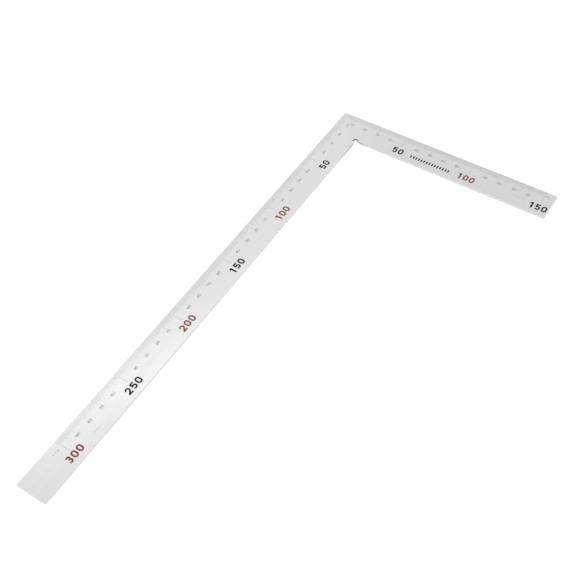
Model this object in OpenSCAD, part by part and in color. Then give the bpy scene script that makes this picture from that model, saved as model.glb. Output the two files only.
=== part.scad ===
// Steel square ruler: one flat stamped stainless sheet, a long arm and a short arm at a right
// angle, with enamel seated in etched marks on its upper face.
//
// Frame: +Z out of the marked face, the long arm along -Y and the short arm along +X.
// Origin: the middle of the outline's box, on the face the ruler rests on.
// Both scales count from the outer corner, along the outer edges.

/* [Blade] */
// Overall length of the long arm, from the outer corner
long_len = 330; // [320:1:400]
// Overall length of the short arm, from the outer corner
short_len = 157; // [155:1:200]
// Width of both arms
arm_w = 20.5; // [18:0.5:30]
// Thickness of the sheet
blade_t = 1.2; // [0.8:0.1:2]
// Corner radius at the free end of each arm
end_r = 0.6; // [0.3:0.1:2]
// Radius of the relief at the inner corner
relief_r = 1.8; // [1:0.1:2.5]
// Radius that eases the relief into the inner edges
relief_ease_r = 4.5; // [2:0.5:6]

/* [Etched marks] */
// Depth of the etching
etch_depth = 0.08; // [0.05:0.01:0.2]
// How far the enamel lies below the face
enamel_sink = 0.02; // [0.01:0.005:0.03]
// Width of a graduation line
line_w = 0.1; // [0.08:0.01:0.2]
// How far in from the outer edge each line starts, clear of the deburred edge
line_inset = 0.15; // [0.1:0.01:0.3]
// Length of a 1 mm line, from the outer edge
line_1 = 4; // [3:0.1:4.5]
// Length of a 5 mm line, from the outer edge
line_5 = 5; // [4.5:0.1:5.4]
// Length of a 10 mm line, from the outer edge
line_10 = 5.8; // [5.5:0.1:6.2]
// Length of a 50 mm line, from the outer edge
line_50 = 10.3; // [8:0.1:10.8]

/* [Numbers] */
// Height of the large numbers
big_h = 5; // [4:0.1:5.5]
// Middle of the large numbers, from the outer edge
big_mid = 14.5; // [14:0.1:14.7]
// Stroke of the large numbers, as a part of their height
big_stroke = 0.215; // [0.15:0.005:0.24]
// Height of the small numbers
small_h = 1.8; // [1.4:0.1:2]
// Middle of the small numbers, from the outer edge
small_mid = 8.1; // [7.6:0.1:8.2]
// How far past its line the middle of a small number lies
small_shift = 0.4; // [0:0.1:0.5]
// Stroke of the small numbers, as a part of their height
small_stroke = 0.11; // [0.09:0.005:0.2]

/* [Hidden] */
long_scale = 300;
short_scale = 150;
tens = 10;
fifties = 50;
hundreds = 100;

// A numeral of height 1 is this wide, and numerals stand this far apart
digit_w = 0.7;
digit_pitch = 0.87;

// Lines near the outer corner stop short of the diagonal by this much, so the two scales never cross
mitre_gap = 0.5;

// Rows of plain bars: [count, pitch, bar width, bar height, first bar along, middle across]
material_row = [15, 1.96, 0.95, 2.4, 60.2, 14.9];
long_unit_row = [3, 1.9, 0.3, 0.7, 303.1, 5.3];
short_unit_row = [2, 1.2, 0.35, 0.7, 151.4, 3.6];
long_fine_row = [6, 1.2, 0.6, 0.14, 278.9, 15.3];
short_fine_row = [7, 1.2, 0.7, 0.2, 133.4, 12.8];

steel = [0.8, 0.81, 0.82];
black = [0.07, 0.07, 0.08];
red = [0.45, 0.13, 0.1];

long_fifties = [for (mm = [fifties:fifties:long_scale]) mm];
short_fifties = [for (mm = [fifties:fifties:short_scale]) mm];

$fn = 64;

// ---- numerals, drawn in a cell of width digit_w and height 1, stroke s ----

// Part of a ring of centreline radius r, from angle a0 to a1
module band(x, y, r, s, a0, a1) {
    reach = 3 * r;
    translate([x, y])
        intersection() {
            difference() {
                circle(r + s / 2);
                circle(r - s / 2);
            }
            polygon([[0, 0], for (i = [0:4]) reach * [cos(a0 + (a1 - a0) * i / 4), sin(a0 + (a1 - a0) * i / 4)]]);
        }
}

module bar(x0, y0, x1, y1) {
    translate([x0, y0])
        square([x1 - x0, y1 - y0]);
}

module digit_0(s) {
    r = (digit_w - s) / 2;
    mid = digit_w / 2;
    band(mid, 1 - mid, r, s, 0, 180);
    band(mid, mid, r, s, 180, 360);
    bar(0, mid, s, 1 - mid);
    bar(digit_w - s, mid, digit_w, 1 - mid);
}

module digit_1(s) {
    right = digit_w / 2 + s;
    left = right - 1.1 * s;
    flag = digit_w / 2 - s;
    polygon([[left, 0], [right, 0], [right, 1], [left, 1], [flag, 0.84], [flag, 0.66], [left, 0.75]]);
}

module digit_2(s) {
    r = (digit_w - s) / 2;
    mid = digit_w / 2;
    turn = -48;
    band(mid, 1 - mid, r, s, turn, 165);
    bar(0, 0, digit_w, 0.95 * s);
    intersection() {
        translate([mid, 1 - mid])
            rotate(turn)
                translate([r - s / 2, -1])
                    square([s, 1]);
        square([digit_w, 1]);
    }
}

module digit_3(s) {
    upper = (1 - s) / 4 - 0.008;
    lower = (1 - s) / 4 + 0.008;
    x = digit_w - s / 2 - lower;
    waist = s / 2 + 2 * lower;
    band(x, waist + upper, upper, s, -90, 155);
    band(x, waist - lower, lower, s, -155, 90);
    bar(x - 0.1, waist - s / 2, x, waist + s / 2);
}

module digit_4(s) {
    stem = digit_w - 1.55 * s;
    low = 0.2;
    high = low + 0.9 * s;
    slant = [stem - 0.15 * s, 1 - high];
    counter_left = 0.95 * s * norm(slant) / slant[1];
    counter_top = high + (stem - counter_left) * slant[1] / slant[0];
    difference() {
        polygon([[stem, 0], [stem + s, 0], [stem + s, low], [digit_w, low], [digit_w, high],
                 [stem + s, high], [stem + s, 1], [slant[0], 1], [0, high], [0, low], [stem, low]]);
        polygon([[stem, high], [stem, counter_top], [counter_left, high]]);
    }
}

module digit_5(s) {
    r = (digit_w - s) / 2;
    mid = digit_w / 2;
    left = 0.06;
    intersection() {
        band(mid, mid, r, s, -150, 165);
        bar(left, -1, 2, 2);
    }
    bar(left, 0.5, left + s, 1);
    bar(left, 1 - 0.95 * s, digit_w - 0.05, 1);
}

module digit_6(s) {
    r = (digit_w - s) / 2;
    mid = digit_w / 2;
    band(mid, 1 - mid, r, s, 38, 180);
    bar(0, mid, s, 1 - mid);
    band(mid, mid, r, s, 180, 360);
    band(mid, mid, r, s, 0, 170);
}

module digit_7(s) {
    polygon([[0, 1], [digit_w, 1], [digit_w, 1 - 0.9 * s], [0.2 + 1.15 * s, 0], [0.2, 0],
             [digit_w - 1.2 * s, 1 - 0.95 * s], [0, 1 - 0.95 * s]]);
}

module digit_8(s) {
    upper = (1 - s) / 4 - 0.02;
    lower = (1 - s) / 4 + 0.02;
    mid = digit_w / 2;
    waist = s / 2 + 2 * lower;
    for (side = [0, 180]) {
        band(mid, waist + upper, upper, s, side, side + 180);
        band(mid, waist - lower, lower, s, side, side + 180);
    }
}

module digit(d, s) {
    if (d == 0) digit_0(s);
    if (d == 1) digit_1(s);
    if (d == 2) digit_2(s);
    if (d == 3) digit_3(s);
    if (d == 4) digit_4(s);
    if (d == 5) digit_5(s);
    if (d == 6) digit_6(s);
    if (d == 7) digit_7(s);
    if (d == 8) digit_8(s);
    if (d == 9) translate([digit_w, 1]) rotate(180) digit_6(s);
}

function digits_of(n) = n < 10 ? [n] : concat(digits_of(floor(n / 10)), [n % 10]);

// A number of height h, centred on the origin
module number(n, h, s) {
    ds = digits_of(n);
    width = (len(ds) - 1) * digit_pitch + digit_w;
    scale(h)
        for (i = [0:len(ds) - 1])
            translate([i * digit_pitch - width / 2, -0.5])
                digit(ds[i], s);
}

// ---- places on the two arms: the outer corner is at 0,0 ----

// A mark drawn upright, its top towards the outer edge of the short arm
module on_short(along, across) {
    translate([along, -across])
        children();
}

// The same on the long arm, where marks read from the free end towards the corner
module on_long(along, across) {
    translate([across, -along])
        rotate(90)
            children();
}

// Where a line ends, from the outer edge
function line_end(mm) = min(
    mm - mitre_gap,
    mm % fifties == 0 ? line_50 : mm % tens == 0 ? line_10 : mm % 5 == 0 ? line_5 : line_1
);

module short_lines() {
    for (mm = [1:short_scale])
        translate([mm - line_w / 2, -line_end(mm)])
            square([line_w, line_end(mm) - line_inset]);
}

module long_lines() {
    for (mm = [1:long_scale])
        translate([line_inset, -mm - line_w / 2])
            square([line_end(mm) - line_inset, line_w]);
}

// The small numbers start again at ten after each hundred
module small_numbers(last, long_arm) {
    for (mm = [tens:tens:last])
        if (mm % fifties != 0) {
            if (long_arm) on_long(mm + small_shift, small_mid) number(mm % hundreds, small_h, small_stroke);
            else on_short(mm + small_shift, small_mid) number(mm % hundreds, small_h, small_stroke);
        }
}

module row_of_bars(row) {
    for (i = [0:row[0] - 1])
        translate([(i - (row[0] - 1) / 2) * row[1] - row[2] / 2, -row[3] / 2])
            square([row[2], row[3]]);
}

function row_middle(row) = row[4] + (row[0] - 1) / 2 * row[1];

module long_row(row) {
    on_long(row_middle(row), row[5])
        row_of_bars(row);
}

module short_row(row) {
    on_short(row_middle(row), row[5])
        row_of_bars(row);
}

module long_numbers() {
    for (mm = long_fifties)
        on_long(mm, big_mid)
            number(mm, big_h, big_stroke);
}

module short_numbers() {
    for (mm = short_fifties)
        on_short(mm, big_mid)
            number(mm, big_h, big_stroke);
}

// ---- solids ----

// From the outer corner's frame to the part's frame
module placed() {
    translate([-short_len / 2, long_len / 2, 0])
        children();
}

// The sliver outside a corner that is rounded to radius r, the corner at 0,0
module corner_sliver(r) {
    difference() {
        square(r);
        translate([r, r])
            circle(r);
    }
}

// The relief at the inner corner: a round hole whose mouth flares into both inner edges
module relief() {
    reach = sqrt(pow(relief_r + relief_ease_r, 2) - pow(relief_ease_r, 2));
    circle(relief_r);
    for (side = [0, 1])
        mirror([side, side])
            difference() {
                polygon([[0, 0], [reach, 0], [reach, relief_ease_r]]);
                translate([reach, relief_ease_r])
                    circle(relief_ease_r);
            }
}

module outline() {
    difference() {
        union() {
            translate([0, -arm_w])
                square([short_len, arm_w]);
            translate([0, -long_len])
                square([arm_w, long_len - arm_w]);
        }
        translate([arm_w, -arm_w])
            relief();
        translate([short_len, 0])
            rotate(180)
                corner_sliver(end_r);
        translate([short_len, -arm_w])
            rotate(90)
                corner_sliver(end_r);
        translate([0, -long_len])
            corner_sliver(end_r);
        translate([arm_w, -long_len])
            rotate(90)
                corner_sliver(end_r);
    }
}

// Every mark as the tool that etches it: it runs out of the face by a little
module etching() {
    translate([0, 0, blade_t - etch_depth])
        linear_extrude(etch_depth + 0.5) {
            long_lines();
            short_lines();
            long_numbers();
            short_numbers();
            small_numbers(long_scale, true);
            small_numbers(short_scale, false);
            long_row(long_unit_row);
            short_row(short_unit_row);
            short_row(material_row);
            long_row(long_fine_row);
            short_row(short_fine_row);
        }
}

// Enamel lying in the etched marks given as children
module enamel(shade) {
    color(shade)
        placed()
            translate([0, 0, blade_t - etch_depth])
                linear_extrude(etch_depth - enamel_sink)
                    children();
}

module blade() {
    color(steel)
        placed()
            difference() {
                linear_extrude(blade_t)
                    outline();
                etching();
            }
}

// The hundreds are red and the fifties between them black
function number_shade(mm) = mm % hundreds == 0 ? red : black;

module long_number(mm) {
    enamel(number_shade(mm))
        on_long(mm, big_mid)
            number(mm, big_h, big_stroke);
}

module short_number(mm) {
    enamel(number_shade(mm))
        on_short(mm, big_mid)
            number(mm, big_h, big_stroke);
}

blade();
enamel(black) long_lines();  // long_ticks
enamel(black) short_lines();  // short_ticks
enamel(black) small_numbers(long_scale, true);  // long_small_numbers
enamel(black) small_numbers(short_scale, false);  // short_small_numbers
for (mm = long_fifties)
    long_number(mm);
for (mm = short_fifties)
    short_number(mm);
enamel(black) long_row(long_unit_row);  // long_unit_bars
enamel(black) short_row(short_unit_row);  // short_unit_bars
enamel(black) short_row(material_row);  // material_bars
enamel(black) long_row(long_fine_row);  // long_fine_bars
enamel(black) short_row(short_fine_row);  // short_fine_bars
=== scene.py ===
import math

import bpy
import numpy as np
from mathutils import Matrix, Vector
from mathutils.geometry import delaunay_2d_cdt


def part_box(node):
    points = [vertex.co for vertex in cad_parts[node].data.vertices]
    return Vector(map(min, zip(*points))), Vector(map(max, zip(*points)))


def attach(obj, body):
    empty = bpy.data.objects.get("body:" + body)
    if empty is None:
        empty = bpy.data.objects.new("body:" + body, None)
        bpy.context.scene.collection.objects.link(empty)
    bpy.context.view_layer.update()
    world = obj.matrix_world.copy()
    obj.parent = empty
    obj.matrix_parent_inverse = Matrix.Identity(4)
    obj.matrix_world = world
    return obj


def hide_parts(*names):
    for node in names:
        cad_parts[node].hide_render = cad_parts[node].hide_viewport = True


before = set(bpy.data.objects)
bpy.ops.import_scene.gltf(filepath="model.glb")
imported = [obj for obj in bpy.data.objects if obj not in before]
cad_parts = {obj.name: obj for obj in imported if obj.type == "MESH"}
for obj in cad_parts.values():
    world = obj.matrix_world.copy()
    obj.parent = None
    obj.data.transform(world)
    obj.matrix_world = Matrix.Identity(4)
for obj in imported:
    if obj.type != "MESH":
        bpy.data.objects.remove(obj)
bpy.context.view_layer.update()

MM = 0.001
low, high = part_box("blade")
SHORT_LEN = (high.x - low.x) / MM
LONG_LEN = (high.y - low.y) / MM
THICK = high.z / MM
ENAMEL_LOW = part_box("long_ticks")[0].z / MM
ENAMEL_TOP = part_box("long_ticks")[1].z / MM

# The design, in mm from the outer corner. x runs out along the short arm. y is 0 along the short arm's
# outer edge, and falls along the long arm.
ARM_W = 20.5
END_R = 0.6            # the corners of the free ends
CORNER_R = 0.12        # the outer corner
RELIEF_R = 1.8         # the round relief at the inner corner
RELIEF_EASE_R = 4.5    # the curves from the relief into the inner edges
EDGE_R = 0.11          # rounding of the deburred edges
CORNER_STEPS, ROUND_STEPS, RELIEF_STEPS, EDGE_STEPS = 5, 8, 28, 4

SLOPE = 0.04           # how far an etched wall leans in, from the face to the floor
GAP = 0.003            # between the enamel and the etched wall
RIM_AT = 0.3           # where the enamel's rim meets the wall, as a share of the slope
RIM_DROP = 0.006       # how far the rim lies under the middle of the enamel
CROWN_IN = 0.034       # how far in from the wall the enamel is level
FOOT_LIFT = 0.001      # between the enamel and the floor of the recess

LINE_W = 0.1
LINE_INSET = 0.15
LINE_LEN = {50: 10.3, 10: 5.8, 5: 5.0, 1: 4.0}     # a line takes the first step that it falls on
MITRE_GAP = 0.5        # between a line's inner end and the diagonal of the corner
LONG_SCALE, SHORT_SCALE = 300, 150

# Numerals. Widths, pitch, strokes and the grid are shares of a numeral's height.
DIGIT_W = 0.7
DIGIT_PITCH = 0.87
BIG = {"height": 5.0, "across": 14.5, "stroke": 0.215, "tolerance": 0.0016}
SMALL = {"height": 1.8, "across": 8.1, "stroke": 0.11, "tolerance": 0.004}
SMALL_SHIFT = 0.4      # how far past its line the middle of a small number lies, in mm
GRID = 0.0197          # the cells on which a numeral's outline is found
GRID_MARGIN = 2.37     # cells kept free round a numeral
SMALLEST_LOOP = 8      # an outline with no more points than this is a stray

# Rows of plain bars: count, pitch, width, height, first along, middle across
ROWS = {
    "material_bars": (15, 1.96, 0.95, 2.4, 60.2, 14.9),
    "long_unit_bars": (3, 1.9, 0.3, 0.7, 303.1, 5.3),
    "short_unit_bars": (2, 1.2, 0.35, 0.7, 151.4, 3.6),
    "long_fine_bars": (6, 1.2, 0.6, 0.14, 278.9, 15.3),
    "short_fine_bars": (7, 1.2, 0.7, 0.2, 133.4, 12.8),
}


# ---- numerals as distance fields over a grid: negative inside the stroke ----

class Cell:
    """The grid of one numeral, whose cell is DIGIT_W wide and 1 high."""

    def __init__(self):
        margin = GRID_MARGIN * GRID
        self.x0 = self.y0 = -margin
        nx = int((DIGIT_W + 2 * margin) / GRID) + 2
        ny = int((1 + 2 * margin) / GRID) + 2
        self.x, self.y = np.meshgrid(
            self.x0 + GRID * np.arange(nx), self.y0 + GRID * np.arange(ny), indexing="ij"
        )

    def line(self, p, q):
        d = np.subtract(q, p)
        t = np.clip(((self.x - p[0]) * d[0] + (self.y - p[1]) * d[1]) / (d @ d), 0, 1)
        return np.hypot(self.x - p[0] - t * d[0], self.y - p[1] - t * d[1])

    def arc(self, cx, cy, r, a0, a1):
        mid, half = math.radians((a0 + a1) / 2), math.radians((a1 - a0) / 2)
        turn = np.arctan2(self.y - cy, self.x - cx) - mid
        turn = (turn + math.pi) % (2 * math.pi) - math.pi
        a = mid + np.clip(turn, -half, half)
        return np.hypot(self.x - cx - r * np.cos(a), self.y - cy - r * np.sin(a))

    def butt(self, field, cx, cy, r, a, way, stroke):
        """Cuts the round end of an arc square, within reach of that end only. way is 1 where the arc runs
        up to angle a, and -1 where it starts there."""
        reach = 0.6 * stroke
        a = math.radians(a)
        ex, ey = cx + r * math.cos(a), cy + r * math.sin(a)
        beyond = way * (-(self.x - ex) * math.sin(a) + (self.y - ey) * math.cos(a))
        near = np.hypot(self.x - ex, self.y - ey) < reach
        return np.where(near, np.maximum(field, beyond), field)

    def box(self, x0, y0, x1, y1):
        return np.maximum(
            np.abs(self.x - (x0 + x1) / 2) - (x1 - x0) / 2,
            np.abs(self.y - (y0 + y1) / 2) - (y1 - y0) / 2,
        )

    def polygon(self, points):
        dist = np.full(self.x.shape, 9.0)
        inside = np.zeros(self.x.shape, bool)
        for p, q in zip(points, points[1:] + points[:1]):
            dist = np.minimum(dist, self.line(p, q))
            if p[1] != q[1]:
                crosses = (p[1] > self.y) != (q[1] > self.y)
                at = p[0] + (self.y - p[1]) / (q[1] - p[1]) * (q[0] - p[0])
                inside ^= crosses & (self.x < at)
        return np.where(inside, -dist, dist)


def numeral(d, s):
    """The field of digit d with stroke s. The numbers in here are each numeral's drawing: shares of its
    height or stroke, and angles in degrees."""
    g = Cell()
    half = s / 2
    mid = DIGIT_W / 2
    r = (DIGIT_W - s) / 2
    small, large = (1 - s) / 4 - 0.008, (1 - s) / 4 + 0.008
    if d == 0:
        f = np.minimum(g.arc(mid, 1 - mid, r, 0, 180), g.arc(mid, mid, r, 180, 360))
        f = np.minimum(f, g.line((half, mid), (half, 1 - mid)))
        f = np.minimum(f, g.line((DIGIT_W - half, mid), (DIGIT_W - half, 1 - mid)))
        return f - half
    if d == 1:
        right, flag = mid + s, mid - s
        left = right - 1.1 * s
        return g.polygon([
            (left, 0), (right, 0), (right, 1), (left, 1), (flag, 0.84), (flag, 0.66), (left, 0.75),
        ])
    if d == 2:
        turn = -48
        f = g.butt(g.arc(mid, 1 - mid, r, turn, 165) - half, mid, 1 - mid, r, 165, 1, s)
        a = math.radians(turn)
        start = (mid + r * math.cos(a), 1 - mid + r * math.sin(a))
        end = (start[0] + math.sin(a), start[1] - math.cos(a))
        diagonal = np.maximum(g.line(start, end) - half, g.box(0, 0, DIGIT_W, 1))
        return np.minimum(np.minimum(f, diagonal), g.box(0, 0, DIGIT_W, 0.95 * s))
    if d == 3:
        x, waist = DIGIT_W - half - large, half + 2 * large
        upper, lower = (x, waist + small, small), (x, waist - large, large)
        up = g.butt(g.arc(*upper, -90, 155) - half, *upper, 155, 1, s)
        down = g.butt(g.arc(*lower, -155, 90) - half, *lower, -155, -1, s)
        return np.minimum(np.minimum(up, down), g.box(x - 0.1, waist - half, x + 0.1, waist + half))
    if d == 4:
        stem, base, top = DIGIT_W - 1.55 * s, 0.2, 0.2 + 0.9 * s
        across, up = stem - 0.15 * s, 1 - top
        left = 0.95 * s * math.hypot(across, up) / up
        body = g.polygon([
            (stem, 0), (stem + s, 0), (stem + s, base), (DIGIT_W, base), (DIGIT_W, top), (stem + s, top),
            (stem + s, 1), (across, 1), (0, top), (0, base), (stem, base),
        ])
        hole = g.polygon([(stem, top), (stem, top + (stem - left) * up / across), (left, top)])
        return np.maximum(body, -hole)
    if d == 5:
        left = 0.06
        f = g.butt(g.arc(mid, mid, r, -150, 165) - half, mid, mid, r, -150, -1, s)
        f = np.maximum(g.butt(f, mid, mid, r, 165, 1, s), left - g.x)
        f = np.minimum(f, g.box(left, 0.47, left + s, 1))
        return np.minimum(f, g.box(left, 1 - 0.95 * s, DIGIT_W - 0.05, 1))
    if d == 6:
        f = g.butt(g.arc(mid, 1 - mid, r, 38, 180) - half, mid, 1 - mid, r, 38, -1, s)
        f = np.minimum(f, g.line((half, mid), (half, 1 - mid)) - half)
        return np.minimum(f, np.abs(np.hypot(g.x - mid, g.y - mid) - r) - half)
    if d == 7:
        return g.polygon([
            (0, 1), (DIGIT_W, 1), (DIGIT_W, 1 - 0.9 * s), (0.2 + 1.15 * s, 0), (0.2, 0),
            (DIGIT_W - 1.2 * s, 1 - 0.95 * s), (0, 1 - 0.95 * s),
        ])
    if d == 8:
        small, large = (1 - s) / 4 - 0.02, (1 - s) / 4 + 0.02
        waist = half + 2 * large
        up = np.abs(np.hypot(g.x - mid, g.y - waist - small) - small)
        down = np.abs(np.hypot(g.x - mid, g.y - waist + large) - large)
        return np.minimum(up, down) - half
    raise ValueError(d)


def contours(field, level):
    """The closed loops where the field crosses level, with the inside on their left."""
    g = Cell()
    f = field - level
    inside = f < 0
    # each crossed grid edge is named by its first node and its direction (0 along x, 1 along y)
    after = {}

    def crossing(i, j, way):
        a, b = f[i, j], f[(i + 1, j) if way == 0 else (i, j + 1)]
        t = a / (a - b)
        x = g.x0 + GRID * (i + (t if way == 0 else 0))
        y = g.y0 + GRID * (j + (t if way == 1 else 0))
        return x, y

    mixed = inside[:-1, :-1].astype(int) + inside[1:, :-1] + inside[1:, 1:] + inside[:-1, 1:]
    for i, j in zip(*np.nonzero((mixed > 0) & (mixed < 4))):
        ring = [(i, j), (i + 1, j), (i + 1, j + 1), (i, j + 1)]
        edges = [(i, j, 0), (i + 1, j, 1), (i, j + 1, 0), (i, j, 1)]
        flags = [bool(inside[n]) for n in ring]
        leave = [k for k in range(4) if flags[k] and not flags[(k + 1) % 4]]
        enter = [k for k in range(4) if not flags[k] and flags[(k + 1) % 4]]
        for k in leave:
            # going round the cell anticlockwise, the outline comes in where the inside ends
            back = min(enter, key=lambda m: (k - m) % 4)
            after[edges[k]] = edges[back]
    loops = []
    while after:
        start = here = next(iter(after))
        loop = []
        while True:
            loop.append(crossing(*here))
            here = after.pop(here)
            if here == start:
                break
        loops.append(np.array(loop))
    return loops


def thin(loop, tol):
    """Drops the points of a closed loop that lie within tol of the line between their neighbours."""
    n = len(loop)
    a = 0
    b = int(np.argmax(np.hypot(*(loop - loop[a]).T)))
    a = int(np.argmax(np.hypot(*(loop - loop[b]).T)))
    a, b = min(a, b), max(a, b)
    keep = {a, b}
    todo = [(a, b), (b, a + n)]
    while todo:
        i, j = todo.pop()
        if j - i < 2:
            continue
        p, q = loop[i % n], loop[j % n]
        mid = loop[np.arange(i + 1, j) % n] - p
        d = q - p
        length = math.hypot(*d)
        off = np.abs(mid[:, 0] * d[1] - mid[:, 1] * d[0]) / length
        k = int(np.argmax(off))
        if off[k] > tol:
            keep.add((i + 1 + k) % n)
            todo += [(i, i + 1 + k), (i + 1 + k, j)]
    return loop[sorted(keep)]


fields, found = {}, {}     # numerals and outlines already worked out


def digit_loops(d, style, inset):
    """The outline of digit d in mm at this style's height, moved inwards by inset mm."""
    key = (d, style["height"], round(inset, 4))
    if key not in found:
        if d == 9:
            loops = [np.array([DIGIT_W, 1]) * style["height"] - l for l in digit_loops(6, style, inset)]
        else:
            field_key = (d, style["stroke"])
            if field_key not in fields:
                fields[field_key] = numeral(d, style["stroke"])
            loops = [
                thin(l, style["tolerance"]) * style["height"]
                for l in contours(fields[field_key], -inset / style["height"])
                if len(l) > SMALLEST_LOOP
            ]
        found[key] = loops
    return found[key]


# ---- the marks of each node, as functions of the inset: each gives closed loops in mm ----

def on_short(points, along, across):
    return points + (along, -across)


def on_long(points, along, across):
    return np.stack((-points[:, 1], points[:, 0]), 1) + (across, -along)


def rectangle(x0, y0, x1, y1, inset):
    x0, y0, x1, y1 = x0 + inset, y0 + inset, x1 - inset, y1 - inset
    return np.array([(x0, y0), (x1, y0), (x1, y1), (x0, y1)])


def number_loops(n, style, place, along, inset):
    text = [int(c) for c in str(n)]
    width = (len(text) - 1) * DIGIT_PITCH + DIGIT_W
    out = []
    for i, d in enumerate(text):
        shift = np.array([i * DIGIT_PITCH - width / 2, -0.5]) * style["height"]
        out += [place(l + shift, along, style["across"]) for l in digit_loops(d, style, inset)]
    return out


def small_numbers(last, place):
    return lambda inset: [
        l
        for mm in range(10, last + 1, 10) if mm % 50
        for l in number_loops(mm % 100, SMALL, place, mm + SMALL_SHIFT, inset)
    ]


def big_number(mm, place):
    return lambda inset: number_loops(mm, BIG, place, mm, inset)


def line_end(mm):
    """How far in from the outer edge the line at mm reaches."""
    return min(mm - MITRE_GAP, next(length for step, length in LINE_LEN.items() if mm % step == 0))


def scale_lines(last, place):
    """One line at each mm. It starts at the outer edge, so its length is measured across the arm."""
    def loops(inset):
        out = []
        for mm in range(1, last + 1):
            bar = rectangle(-LINE_W / 2, -line_end(mm), LINE_W / 2, -LINE_INSET, inset)
            out.append(place(bar, mm, 0))
        return out
    return loops


def bar_row(row, place):
    count, pitch, width, height, first, across = row
    return lambda inset: [
        place(rectangle(-width / 2, -height / 2, width / 2, height / 2, inset), first + i * pitch, across)
        for i in range(count)
    ]


marks = {
    "long_ticks": scale_lines(LONG_SCALE, on_long),
    "short_ticks": scale_lines(SHORT_SCALE, on_short),
    "long_small_numbers": small_numbers(LONG_SCALE, on_long),
    "short_small_numbers": small_numbers(SHORT_SCALE, on_short),
}
for mm in range(50, LONG_SCALE + 1, 50):
    marks[f"long_number_{mm}"] = big_number(mm, on_long)
for mm in range(50, SHORT_SCALE + 1, 50):
    marks[f"short_number_{mm}"] = big_number(mm, on_short)
for name, row in ROWS.items():
    marks[name] = bar_row(row, on_long if name.startswith("long") else on_short)


# ---- meshes ----

MERGE = 1e-5           # mm
KEY_DIGITS = 4         # of a point's coordinates in mm, when points are matched


def area2(loop):
    """Twice the area inside a loop, above 0 if it runs anticlockwise."""
    x, y = loop.T
    return float(x @ np.roll(y, -1) - y @ np.roll(x, -1))


def fill(levels):
    """Triangles over the region inside the first level's loops, by the even-odd rule. levels is a list of
    (loops, height), and the later levels' loops lie inside that region. Returns points with heights, and
    triangles that face up."""
    coords, faces, heights, first_faces = [], [], [], 0
    for k, (loops, z) in enumerate(levels):
        for loop in loops:
            loop = loop if area2(loop) > 0 else loop[::-1]
            start = len(coords)
            coords += [Vector(p) for p in loop.tolist()]
            heights += [z] * len(loop)
            faces.append(list(range(start, start + len(loop))))
        if k == 0:
            first_faces = len(faces)
    # 1 keeps what is inside some face, and points closer than MERGE become one
    verts, _, tris, orig, _, origins = delaunay_2d_cdt(coords, [], faces, 1, MERGE, True)
    zs = [heights[o[0]] if o else None for o in orig]
    if None in zs:
        raise ValueError("two outlines cross")
    kept = [t for t, inside in zip(tris, origins) if sum(i < first_faces for i in inside) % 2]
    return [(v.x, v.y, z) for v, z in zip(verts, zs)], kept


class Shell:
    """Vertices, faces, materials and corner normals of one piece, in mm from the outer corner."""

    def __init__(self):
        self.verts, self.faces, self.mats, self.normals, self.index = [], [], [], [], {}

    def vert(self, p):
        key = tuple(round(c, KEY_DIGITS) for c in p)
        if key not in self.index:
            self.index[key] = len(self.verts)
            self.verts.append(p)
        return self.index[key]

    def face(self, points, mat=0, normals=None):
        ids = [self.vert(p) for p in points]
        if len(set(ids)) < len(ids):
            return
        if normals is None:
            a, b, c = (np.array(p) for p in points[:3])
            n = np.cross(b - a, c - a)
            normals = [n / max(np.linalg.norm(n), 1e-12)] * len(ids)
        self.faces.append(ids)
        self.mats.append(mat)
        self.normals += [tuple(n) for n in normals]

    def build(self, name, materials):
        me = bpy.data.meshes.new(name)
        shift = (-SHORT_LEN / 2, LONG_LEN / 2, 0)
        me.from_pydata([[(c + s) * MM for c, s in zip(p, shift)] for p in self.verts], [], self.faces)
        me.polygons.foreach_set("material_index", self.mats)
        me.polygons.foreach_set("use_smooth", [True] * len(self.faces))
        for m in materials:
            me.materials.append(m)
        me.normals_split_custom_set(self.normals)
        ob = bpy.data.objects.new(name, me)
        bpy.context.scene.collection.objects.link(ob)
        return ob


def arc_points(cx, cy, r, a0, a1, n):
    """n + 1 points along an arc from angle a0 to a1, in degrees."""
    angles = [math.radians(a0 + (a1 - a0) * i / n) for i in range(n + 1)]
    return [(cx + r * math.cos(a), cy + r * math.sin(a)) for a in angles]


def blade_outline():
    """Anticlockwise from the outer corner, down the long arm's outer edge."""
    tangent = math.degrees(math.asin(RELIEF_EASE_R / (RELIEF_R + RELIEF_EASE_R)))
    reach = math.sqrt((RELIEF_R + RELIEF_EASE_R) ** 2 - RELIEF_EASE_R ** 2)
    w, n = ARM_W, ROUND_STEPS
    out = arc_points(CORNER_R, -CORNER_R, CORNER_R, 90, 180, CORNER_STEPS)
    out += arc_points(END_R, -LONG_LEN + END_R, END_R, 180, 270, n)
    out += arc_points(w - END_R, -LONG_LEN + END_R, END_R, 270, 360, n)
    out += arc_points(w - RELIEF_EASE_R, -w - reach, RELIEF_EASE_R, 0, 90 - tangent, n)
    out += arc_points(w, -w, RELIEF_R, 270 - tangent, tangent, RELIEF_STEPS)[1:-1]
    out += arc_points(w + reach, -w + RELIEF_EASE_R, RELIEF_EASE_R, 180 + tangent, 270, n)
    out += arc_points(SHORT_LEN - END_R, -w + END_R, END_R, 270, 360, n)
    out += arc_points(SHORT_LEN - END_R, -END_R, END_R, 0, 90, n)
    return np.array(out)


def inward(loop, distance):
    """The points of an anticlockwise loop, moved in by that distance from both of their edges, and their
    outward normals."""
    sharpest = 0.3     # a sharper corner than this moves no further
    ahead = np.roll(loop, -1, 0) - loop
    ahead /= np.hypot(*ahead.T)[:, None]
    behind = np.roll(ahead, 1, 0)
    out = np.stack((ahead[:, 1] + behind[:, 1], -ahead[:, 0] - behind[:, 0]), 1)
    out /= np.hypot(*out.T)[:, None]
    stretch = 1 / np.maximum(out[:, 0] * ahead[:, 1] - out[:, 1] * ahead[:, 0], sharpest)
    return loop - out * (distance * stretch)[:, None], out


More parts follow.
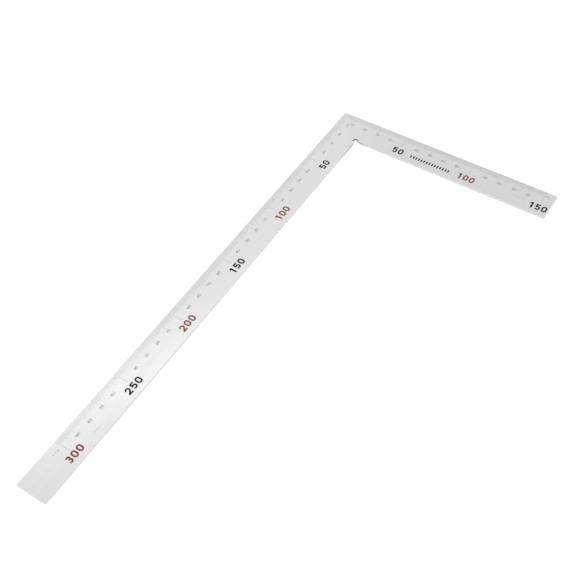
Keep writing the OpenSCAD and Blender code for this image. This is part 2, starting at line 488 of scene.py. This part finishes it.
def make_blade(name, materials):
    """The sheet, its edges rounded over and every mark etched. The cut side has the second material."""
    s = Shell()
    outline = blade_outline()
    rings = []
    for k in range(EDGE_STEPS + 1):
        a = math.radians(90 * k / EDGE_STEPS)
        loop, out = inward(outline, EDGE_R * (1 - math.sin(a)))
        rings.append((loop, out, EDGE_R * (1 - math.cos(a)), a))
    # each ring up the edge: its loop, outward normals and height, and how far a normal leans out and up
    profile = [(loop, out, z, (math.sin(a), -math.cos(a))) for loop, out, z, a in rings]
    profile += [(loop, out, THICK - z, (math.sin(a), math.cos(a))) for loop, out, z, a in reversed(rings)]
    count = len(outline)
    for k in range(len(profile) - 1):
        (la, out, za, na), (lb, _, zb, nb) = profile[k], profile[k + 1]
        side = k == EDGE_STEPS
        for i in range(count):
            j = (i + 1) % count
            points = [(*la[i], za), (*la[j], za), (*lb[j], zb), (*lb[i], zb)]
            leans = ((i, na), (j, na), (j, nb), (i, nb))
            normals = [(out[m][0] * lean[0], out[m][1] * lean[0], lean[1]) for m, lean in leans]
            s.face(points, 1 if side else 0, normals)
    edge = [rings[0][0]]
    verts, tris = fill([(edge, 0.0)])
    for t in tris:
        s.face([verts[i] for i in reversed(t)], 0, [(0, 0, -1)] * 3)
    lips = [l for loops in marks.values() for l in loops(0)]
    floors = [l for loops in marks.values() for l in loops(SLOPE)]
    # the face, the etched walls and floors: the lips aren't on the first level, so nothing is left open
    verts, tris = fill([(edge, THICK), (lips, THICK), (floors, ENAMEL_LOW)])
    for t in tris:
        points = [verts[i] for i in t]
        flat = len({p[2] for p in points}) == 1
        s.face(points, 0, [(0, 0, 1)] * 3 if flat else None)
    return s.build(name, materials)


def make_enamel(name, loops, material):
    """The enamel of one node: a body with sloping sides in the etched recess, lower at its rim."""
    s = Shell()
    rim = loops(GAP + SLOPE * RIM_AT)
    crown = loops(GAP + CROWN_IN)
    foot = loops(GAP + SLOPE)
    rim_z = ENAMEL_TOP - RIM_DROP
    verts, tris = fill([(rim, rim_z), (crown, ENAMEL_TOP)])
    for t in tris:
        points = [verts[i] for i in t]
        flat = all(p[2] == ENAMEL_TOP for p in points)
        s.face(points, 0, [(0, 0, 1)] * 3 if flat else None)
    verts, tris = fill([(rim, rim_z), (foot, ENAMEL_LOW + FOOT_LIFT)])
    for t in tris:
        s.face([verts[i] for i in reversed(t)], 0)
    return s.build(name, [material])


# ---- materials ----

class Finish:
    """A Principled material and short ways to add nodes to it. Patterns read object coordinates, in
    metres."""

    def __init__(self, name, colour, metallic, roughness, specular=0.5):
        self.material = bpy.data.materials.new(name)
        self.material.use_nodes = True
        self.tree = self.material.node_tree
        self.shader = self.tree.nodes["Principled BSDF"]
        self.shader.inputs["Base Color"].default_value = (*colour, 1)
        self.shader.inputs["Metallic"].default_value = metallic
        self.shader.inputs["Roughness"].default_value = roughness
        self.shader.inputs["Specular IOR Level"].default_value = specular
        self.place = self.tree.nodes.new("ShaderNodeTexCoord").outputs["Object"]

    def node(self, kind, settings=None, **inputs):
        node = self.tree.nodes.new("ShaderNode" + kind)
        for key, value in (settings or {}).items():
            setattr(node, key, value)
        for key, value in inputs.items():
            # i3=... feeds input number 3, and any other name the input of that name
            numbered = key[0] == "i" and key[1:].isdigit()
            socket = node.inputs[int(key[1:]) if numbered else key]
            if isinstance(value, bpy.types.NodeSocket):
                self.tree.links.new(value, socket)
            else:
                socket.default_value = value
        return node

    def math(self, operation, a, b=0.0, c=0.0):
        return self.node("Math", {"operation": operation}, i0=a, i1=b, i2=c).outputs[0]

    def add(self, base, pattern, amount):
        """base, moved by amount where the pattern is 1 and left where it is 0."""
        return self.math("MULTIPLY_ADD", pattern, amount, base)

    def vary(self, base, pattern, amount):
        """base, moved both ways by a pattern that lies round one half."""
        return self.add(base, self.math("SUBTRACT", pattern, 0.5), amount)

    def mapped(self, scale, turn=0.0, shift=(0, 0, 0)):
        return self.node(
            "Mapping", Vector=self.place, Scale=scale, Rotation=(0, 0, math.radians(turn)), Location=shift
        ).outputs[0]

    def noise(self, scale, detail=2.0, roughness=0.5, turn=0.0, shift=(0, 0, 0)):
        """Noise whose features are about 1/scale metres long along each axis."""
        scale = (scale,) * 3 if isinstance(scale, (int, float)) else scale
        place = self.mapped(scale, turn, shift)
        return self.node("TexNoise", Vector=place, Scale=1.0, Detail=detail, Roughness=roughness).outputs[0]

    def ramp(self, value, low, high, out_low=0.0, out_high=1.0):
        return self.node(
            "MapRange", {"interpolation_type": "SMOOTHSTEP"},
            i0=value, i1=low, i2=high, i3=out_low, i4=out_high,
        ).outputs[0]

    def scratches(self, turn, shift, length, width, level):
        """Thin straight marks: the crests over that level of a noise drawn out along one direction."""
        crest = self.noise((1 / width, 1 / length, 1 / width), 1.0, 0.4, turn, shift)
        return self.ramp(crest, level, level + 0.03)

    def mix(self, share, a, b):
        a, b = ((*v, 1) if isinstance(v, tuple) else v for v in (a, b))
        return self.node("Mix", {"data_type": "RGBA"}, i0=share, i6=a, i7=b).outputs[2]

    def grey(self, value):
        return self.node("CombineColor", Red=value, Green=value, Blue=value).outputs[0]

    def set(self, name, value):
        self.tree.links.new(value, self.shader.inputs[name])

    def bump(self, height, distance, before=None):
        inputs = {"Height": height, "Distance": distance, "Strength": 1.0}
        if before is not None:
            inputs["Normal"] = before
        return self.node("Bump", **inputs).outputs[0]

    def edge_distance(self):
        """How far inside the outline a point of the face lies, in metres, from a box over each arm."""
        part = self.node("SeparateXYZ", Vector=self.place)
        x, y = part.outputs[0], part.outputs[1]
        half_w = ARM_W / 2 * MM
        sides = []
        for cx, cy, hx, hy in (
            (-SHORT_LEN / 2 * MM + half_w, 0, half_w, LONG_LEN / 2 * MM),
            (0, LONG_LEN / 2 * MM - half_w, SHORT_LEN / 2 * MM, half_w),
        ):
            dx = self.math("SUBTRACT", hx, self.math("ABSOLUTE", self.math("SUBTRACT", x, cx)))
            dy = self.math("SUBTRACT", hy, self.math("ABSOLUTE", self.math("SUBTRACT", y, cy)))
            sides.append(self.math("MINIMUM", dx, dy))
        return self.math("MAXIMUM", *sides)


def face_steel():
    """Satin stainless: hairline grain along the long arm, faint scratches and smudges, and edges rubbed
    bright."""
    base_tone, base_roughness = 0.525, 0.18
    rub_band = (0.00012, 0.0007)    # metres in from the edge, over which the rubbed edge fades
    f = Finish("satin_stainless", (0.52, 0.52, 0.52), 1.0, 0.26)
    grain = f.noise((11000, 260, 11000), 3.0, 0.6)
    streaks = f.noise((900, 9, 900), 2.0, 0.5)
    cloud = f.noise(16, 2.0, 0.5)
    smudge = f.ramp(f.noise(42, 3.0, 0.55, shift=(3, 1, 0)), 0.52, 0.72)
    speck = f.ramp(f.noise(1500, 1.0, 0.5), 0.74, 0.8)
    along_the_arm = f.scratches(turn=0, shift=(0, 0, 0), length=0.03, width=0.00011, level=0.73)
    one_way = f.scratches(turn=24, shift=(7, 2, 0), length=0.012, width=0.00009, level=0.755)
    other_way = f.scratches(turn=-63, shift=(1, 5, 0), length=0.009, width=0.00008, level=0.76)
    scratch = f.math("MAXIMUM", f.math("MAXIMUM", along_the_arm, one_way), other_way)
    uneven = f.ramp(f.noise(700, 2.0, 0.6), 0.35, 0.65, 0.35, 1.0)
    rub = f.math("MULTIPLY", f.ramp(f.edge_distance(), *rub_band, 1.0, 0.0), uneven)

    tone = f.vary(base_tone, grain, 0.07)
    tone = f.vary(tone, streaks, 0.035)
    tone = f.vary(tone, cloud, 0.03)
    tone = f.add(tone, speck, -0.05)
    tone = f.add(tone, scratch, 0.035)
    f.set("Base Color", f.grey(f.add(tone, rub, 0.05)))

    roughness = f.vary(base_roughness, grain, 0.08)
    roughness = f.add(roughness, smudge, 0.035)
    roughness = f.add(roughness, scratch, 0.06)
    f.set("Roughness", f.add(roughness, rub, -0.05))

    relief = f.bump(scratch, 1.2e-6, f.bump(grain, 2.2e-6))
    f.set("Normal", f.bump(f.noise(260, 2.0, 0.5), 1.5e-6, relief))
    return f.material


def cut_steel():
    """The blanked and deburred edge: fine lines through the thickness, and painted shade that darkens it in
    and near the relief and along the inner edges.
    """
    base_tone, base_roughness = 0.72, 0.36
    relief_band = (0.0022, 0.0048)  # metres from the inner corner, over which the painted shade in the relief fades
    trail_band = (0.003, 0.026)     # and the painted shade's trail along the inner edges
    trail_share = 0.62
    short_stretch = 2.2             # the trail is that much shorter along the short arm
    f = Finish("cut_stainless", (0.7, 0.7, 0.7), 1.0, 0.36)
    lines = f.noise((7000, 7000, 350), 3.0, 0.6)
    lap = f.noise((300, 300, 9000), 2.0, 0.5)
    corner = (-SHORT_LEN / 2 + ARM_W, LONG_LEN / 2 - ARM_W)

    def away(stretch):
        """How far a point is from the inner corner, in metres, with the short arm stretched."""
        flat = f.node("VectorMath", {"operation": "MULTIPLY"}, i0=f.place, i1=(stretch, 1, 0)).outputs[0]
        middle = (corner[0] * stretch * MM, corner[1] * MM, 0)
        return f.node("VectorMath", {"operation": "DISTANCE"}, i0=flat, i1=middle).outputs["Value"]

    uneven = f.ramp(f.noise(1400, 2.0, 0.6), 0.2, 0.6, 0.75, 1.0)
    # painted shade: the cut side is darkened, and made rougher, in the relief and in a trail along the
    # inner edges
    near = f.math("MULTIPLY", f.ramp(away(1), *relief_band, 1.0, 0.0), uneven)
    trail = f.math("MULTIPLY", f.ramp(away(short_stretch), *trail_band, trail_share, 0.0), uneven)
    painted_shade = f.math("MAXIMUM", near, trail)

    tone = f.vary(base_tone, lines, 0.16)
    tone = f.vary(tone, lap, 0.06)
    # the painted shade darkens the base colour in and near the relief and along the inner edges
    f.set("Base Color", f.grey(f.add(tone, painted_shade, -0.56)))
    f.set("Roughness", f.add(f.vary(base_roughness, lines, 0.16), painted_shade, 0.25))
    f.set("Normal", f.bump(lap, 3e-6, f.bump(lines, 5e-6)))
    return f.material


def enamel(name, thin_colour, thick_colour):
    """Baked enamel: thin in places, with a fine orange peel and a few pin specks."""
    speck_colour = tuple(min(1, 3 * c + 0.01) for c in thin_colour)
    f = Finish(name, thick_colour, 0.0, 0.5, 0.2)
    patch = f.ramp(f.noise(900, 3.0, 0.6), 0.3, 0.75)
    speck = f.ramp(f.noise(6000, 1.0, 0.5), 0.7, 0.76)
    colour = f.mix(patch, thick_colour, thin_colour)
    f.set("Base Color", f.mix(f.math("MULTIPLY", speck, 0.35), colour, speck_colour))
    f.set("Roughness", f.add(0.46, patch, 0.14))
    f.set("Normal", f.bump(f.noise(9000, 2.0, 0.5), 2.5e-6))
    return f.material


def floor_paper():
    """A pale matt sweep with the faintest mottling."""
    f = Finish("backdrop", (0.95, 0.95, 0.95), 0.0, 0.95, 0.1)
    f.set("Base Color", f.grey(f.ramp(f.noise(3.0, 3.0, 0.5), 0.3, 0.7, 0.945, 0.955)))
    f.set("Normal", f.bump(f.noise(1800, 2.0, 0.5), 4e-6))
    return f.material


steel = face_steel()
edge_steel = cut_steel()
black = enamel("black_enamel", (0.012, 0.012, 0.013), (0.004, 0.004, 0.0045))
red = enamel("red_enamel", (0.22, 0.063, 0.038), (0.165, 0.045, 0.027))

blade = make_blade("blade_sheet", [steel, edge_steel])
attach(blade, "root")
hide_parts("blade")
for node, loops in marks.items():
    hundred = "_number_" in node and int(node.rsplit("_", 1)[1]) % 100 == 0
    piece = make_enamel(node + "_enamel", loops, red if hundred else black)
    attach(piece, "root")
    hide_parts(node)


# ---- floor, light and camera, in metres ----

FLOOR_RADIUS, FLOOR_SIDES = 3, 64
FLOOR_Z = -1e-5                # a hair under the face that rests on it, so the two never share a plane
SKY_BAND = (0.1, 0.6)          # sine of the height over the horizon, over which the sky brightens
SKY_STRENGTH = (1.02, 1.26)    # under and over that band
CAMERA_AT = Vector((0.1852, -0.2506, 0.4459))
CAMERA_AIM = Vector((-0.02766, 0.01692, 0.0012))
CAMERA_ROLL = math.radians(-6.05)
LENS, SENSOR = 58.6, 36        # mm


def softbox(name, aim, direction, distance, width, height, radiance):
    """An area light of that radiance, seen from aim in that direction."""
    lamp = bpy.data.lights.new(name, "AREA")
    lamp.shape = "RECTANGLE"
    lamp.size, lamp.size_y = width, height
    lamp.energy = radiance * math.pi * width * height
    ob = bpy.data.objects.new(name, lamp)
    bpy.context.scene.collection.objects.link(ob)
    aim = Vector(aim)
    ob.location = aim + Vector(direction).normalized() * distance
    ob.rotation_euler = (ob.location - aim).to_track_quat("Z", "Y").to_euler()


floor_mesh = bpy.data.meshes.new("floor")
turns = [math.tau * i / FLOOR_SIDES for i in range(FLOOR_SIDES)]
ring = [(FLOOR_RADIUS * math.cos(a), FLOOR_RADIUS * math.sin(a), FLOOR_Z) for a in turns]
floor_mesh.from_pydata(ring, [], [list(range(FLOOR_SIDES))])
floor_mesh.materials.append(floor_paper())
floor = bpy.data.objects.new("floor", floor_mesh)
bpy.context.scene.collection.objects.link(floor)

world = bpy.data.worlds.new("world")
bpy.context.scene.world = world
world.use_nodes = True
sky = world.node_tree
up = sky.nodes.new("ShaderNodeSeparateXYZ")
sky.links.new(sky.nodes.new("ShaderNodeTexCoord").outputs["Generated"], up.inputs[0])
rise = sky.nodes.new("ShaderNodeMapRange")
rise.interpolation_type = "SMOOTHSTEP"
for socket, value in zip(rise.inputs[1:5], (*SKY_BAND, *SKY_STRENGTH)):
    socket.default_value = value
sky.links.new(up.outputs[2], rise.inputs[0])
sky.links.new(rise.outputs[0], sky.nodes["Background"].inputs["Strength"])
sky.nodes["Background"].inputs["Color"].default_value = (1, 1, 1, 1)
bpy.context.scene.view_settings.view_transform = "Standard"

# the strip's reflection is the bright stretch of the long arm, and the wide light lifts both arms
softbox(
    "strip", aim=(-0.068, -0.077, THICK * MM), direction=(-0.465, 0.314, 0.8275),
    distance=1.5, width=0.7, height=0.05, radiance=1.25,
)
softbox(
    "wide", aim=(-0.068, 0.0, THICK * MM), direction=(-0.465, 0.4, 0.8),
    distance=1.7, width=1.0, height=1.0, radiance=0.16,
)

camera = bpy.data.objects.new("camera", bpy.data.cameras.new("camera"))
camera.data.sensor_width = SENSOR
camera.data.lens = LENS
bpy.context.scene.collection.objects.link(camera)
turn = (CAMERA_AT - CAMERA_AIM).to_track_quat("Z", "Y").to_matrix() @ Matrix.Rotation(CAMERA_ROLL, 3, "Z")
camera.matrix_world = Matrix.Translation(CAMERA_AT) @ turn.to_4x4()
bpy.context.scene.camera = camera
